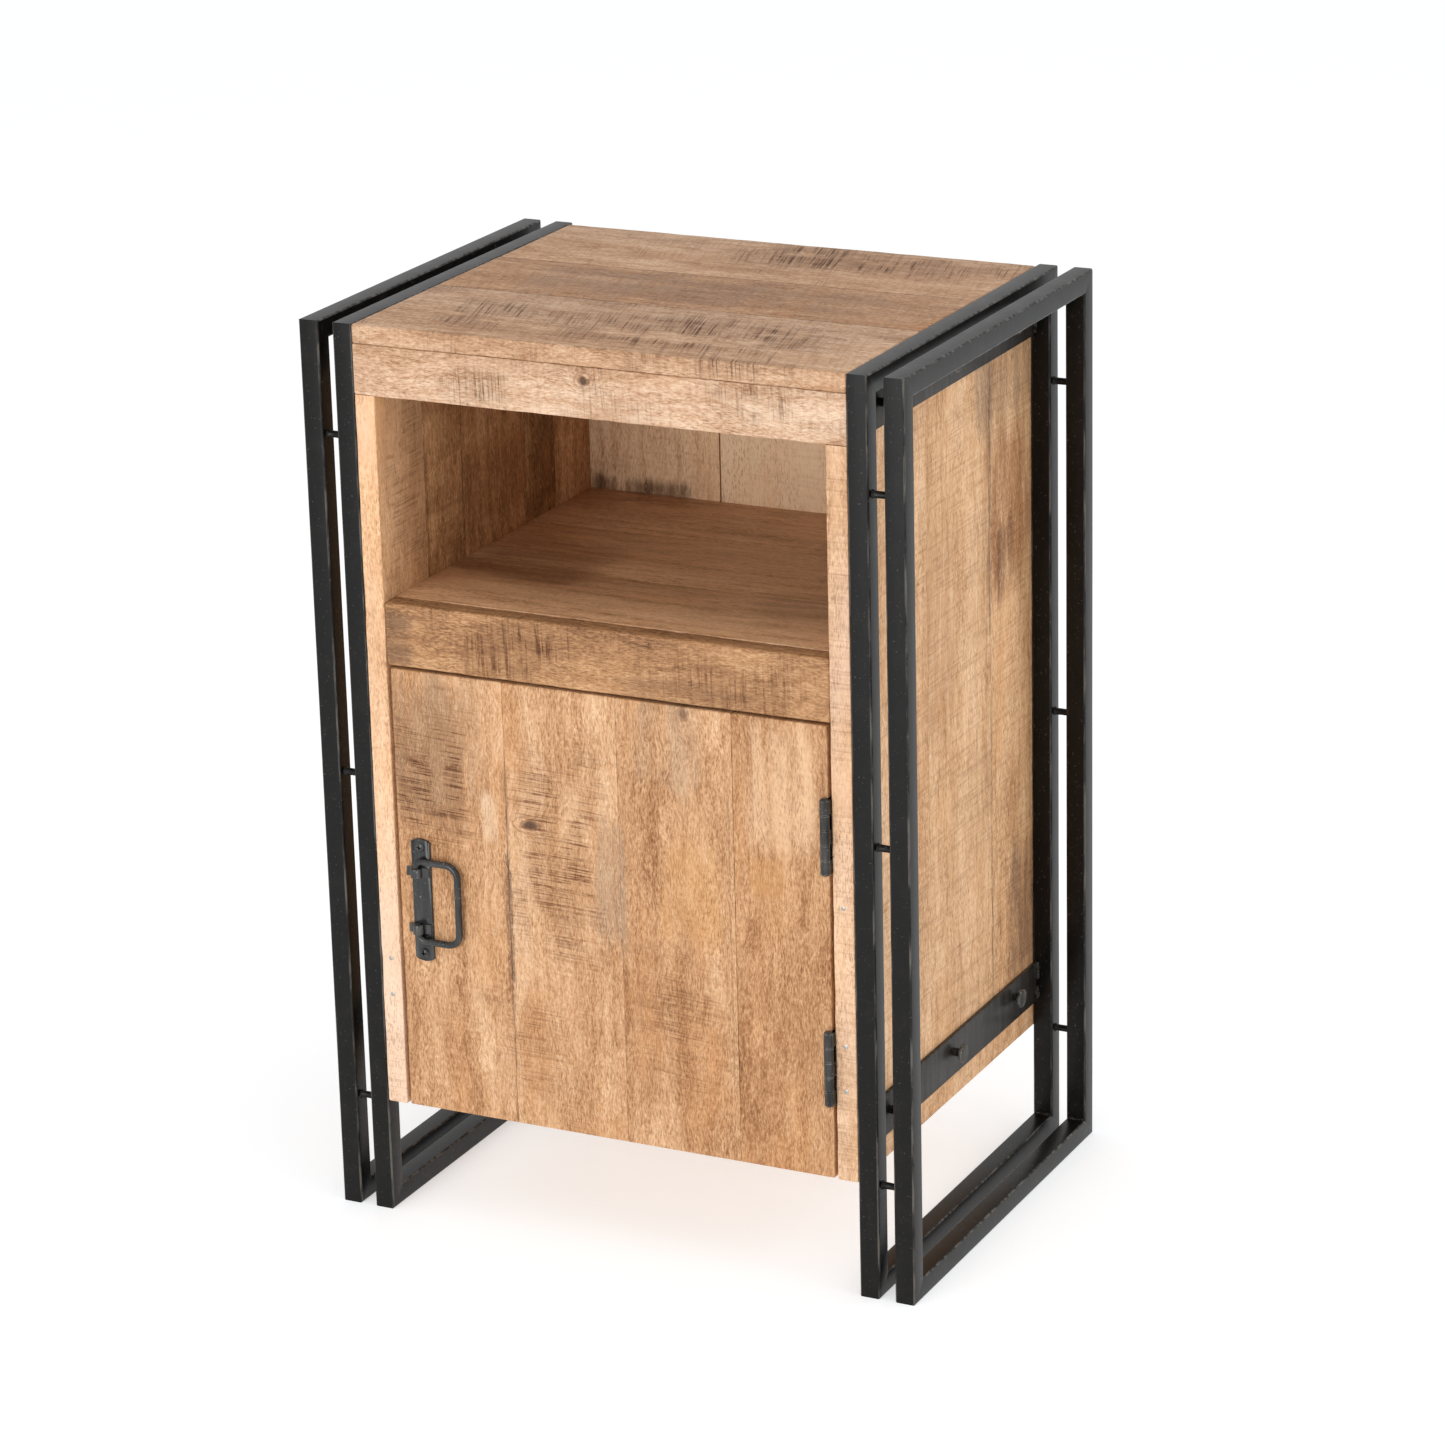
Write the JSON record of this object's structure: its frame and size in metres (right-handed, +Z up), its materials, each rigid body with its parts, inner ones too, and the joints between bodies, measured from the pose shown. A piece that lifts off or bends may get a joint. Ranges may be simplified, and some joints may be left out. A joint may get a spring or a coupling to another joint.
{
  "type": "sideboard buffet",
  "caption": "Small sideboard with an open niche over a hinged-door cupboard, held between pairs of square-tube steel loop legs, with a swinging bail pull.",
  "frame": {"origin": "on the floor at the middle of the whole footprint, pull included", "axes": "+Z up, +Y from the door towards the back, +X to the right seen from the front"},
  "size_m": [0.6, 0.441, 0.87],
  "materials": {
    "frame_steel": "satin near-black paint, faintly mottled",
    "strap_steel": "satin near-black paint over flat bar",
    "bolt_steel": "blackened bolt heads, worn at the rim",
    "hinge_steel": "black hinge steel, bare in streaks",
    "handle_steel": "black forged-look steel",
    "zinc_steel": "zinc-plated strike plate",
    "top_wood": "oiled rough-sawn mango top",
    "side_wood": "rough-sawn mango, light",
    "rail_wood": "rough-sawn mango, pale front edges",
    "shelf_rail_wood": "mango rail, medium tan",
    "shelf_wood": "smooth satin mango shelf",
    "inner_wood": "inside boards, warm brown",
    "door_wood": "rough-sawn mango door boards",
    "catch_plastic": "brown moulded catch"
  },
  "bodies": {
    "cabinet": {"outer_frame_left": "frame_steel", "inner_frame_left": "frame_steel", "spacer_left_front_low": "frame_steel", "spacer_left_front_middle": "frame_steel", "spacer_left_front_high": "frame_steel", "spacer_left_rear_low": "frame_steel", "spacer_left_rear_middle": "frame_steel", "spacer_left_rear_high": "frame_steel", "strap_left_low": "strap_steel", "bolt_left_low_front": "bolt_steel", "bolt_left_low_middle": "bolt_steel", "bolt_left_low_rear": "bolt_steel", "strap_left_high": "strap_steel", "bolt_left_high_front": "bolt_steel", "bolt_left_high_middle": "bolt_steel", "bolt_left_high_rear": "bolt_steel", "outer_frame_right": "frame_steel", "inner_frame_right": "frame_steel", "spacer_right_front_low": "frame_steel", "spacer_right_front_middle": "frame_steel", "spacer_right_front_high": "frame_steel", "spacer_right_rear_low": "frame_steel", "spacer_right_rear_middle": "frame_steel", "spacer_right_rear_high": "frame_steel", "strap_right_low": "strap_steel", "bolt_right_low_front": "bolt_steel", "bolt_right_low_middle": "bolt_steel", "bolt_right_low_rear": "bolt_steel", "strap_right_high": "strap_steel", "bolt_right_high_front": "bolt_steel", "bolt_right_high_middle": "bolt_steel", "bolt_right_high_rear": "bolt_steel", "side_panel_left": "side_wood", "side_panel_right": "side_wood", "top_panel": "top_wood", "top_front_rail": "rail_wood", "shelf_front_rail": "shelf_rail_wood", "shelf_panel": "shelf_wood", "bottom_panel": "inner_wood", "back_board_left": "inner_wood", "back_board_middle": "inner_wood", "back_board_right": "inner_wood", "catch_body": "catch_plastic", "hinge_low_frame_leaf": "hinge_steel", "hinge_low_pin": "hinge_steel", "hinge_high_frame_leaf": "hinge_steel", "hinge_high_pin": "hinge_steel"},
    "door": {"hinge_low_door_leaf": "hinge_steel", "hinge_high_door_leaf": "hinge_steel", "door_panel": "door_wood", "strike_plate": "zinc_steel", "handle_plate": "handle_steel", "handle_loop_low": "handle_steel", "handle_screw_low": "handle_steel", "handle_loop_high": "handle_steel", "handle_screw_high": "handle_steel"},
    "bail": {"handle_bail": "handle_steel"}
  },
  "joints": [
    {"name": "door_hinge", "type": "hinge", "parent": "cabinet", "child": "door", "pos_m": [0.22, -0.21425, 0.33325], "axis": [0, 0, 1], "range_deg": [0, 180]},
    {"name": "bail_swing", "type": "hinge", "parent": "door", "child": "bail", "pos_m": [-0.2, -0.2155, 0.3235], "axis": [0, 0, -1], "range_deg": [0, 180]}
  ]
}
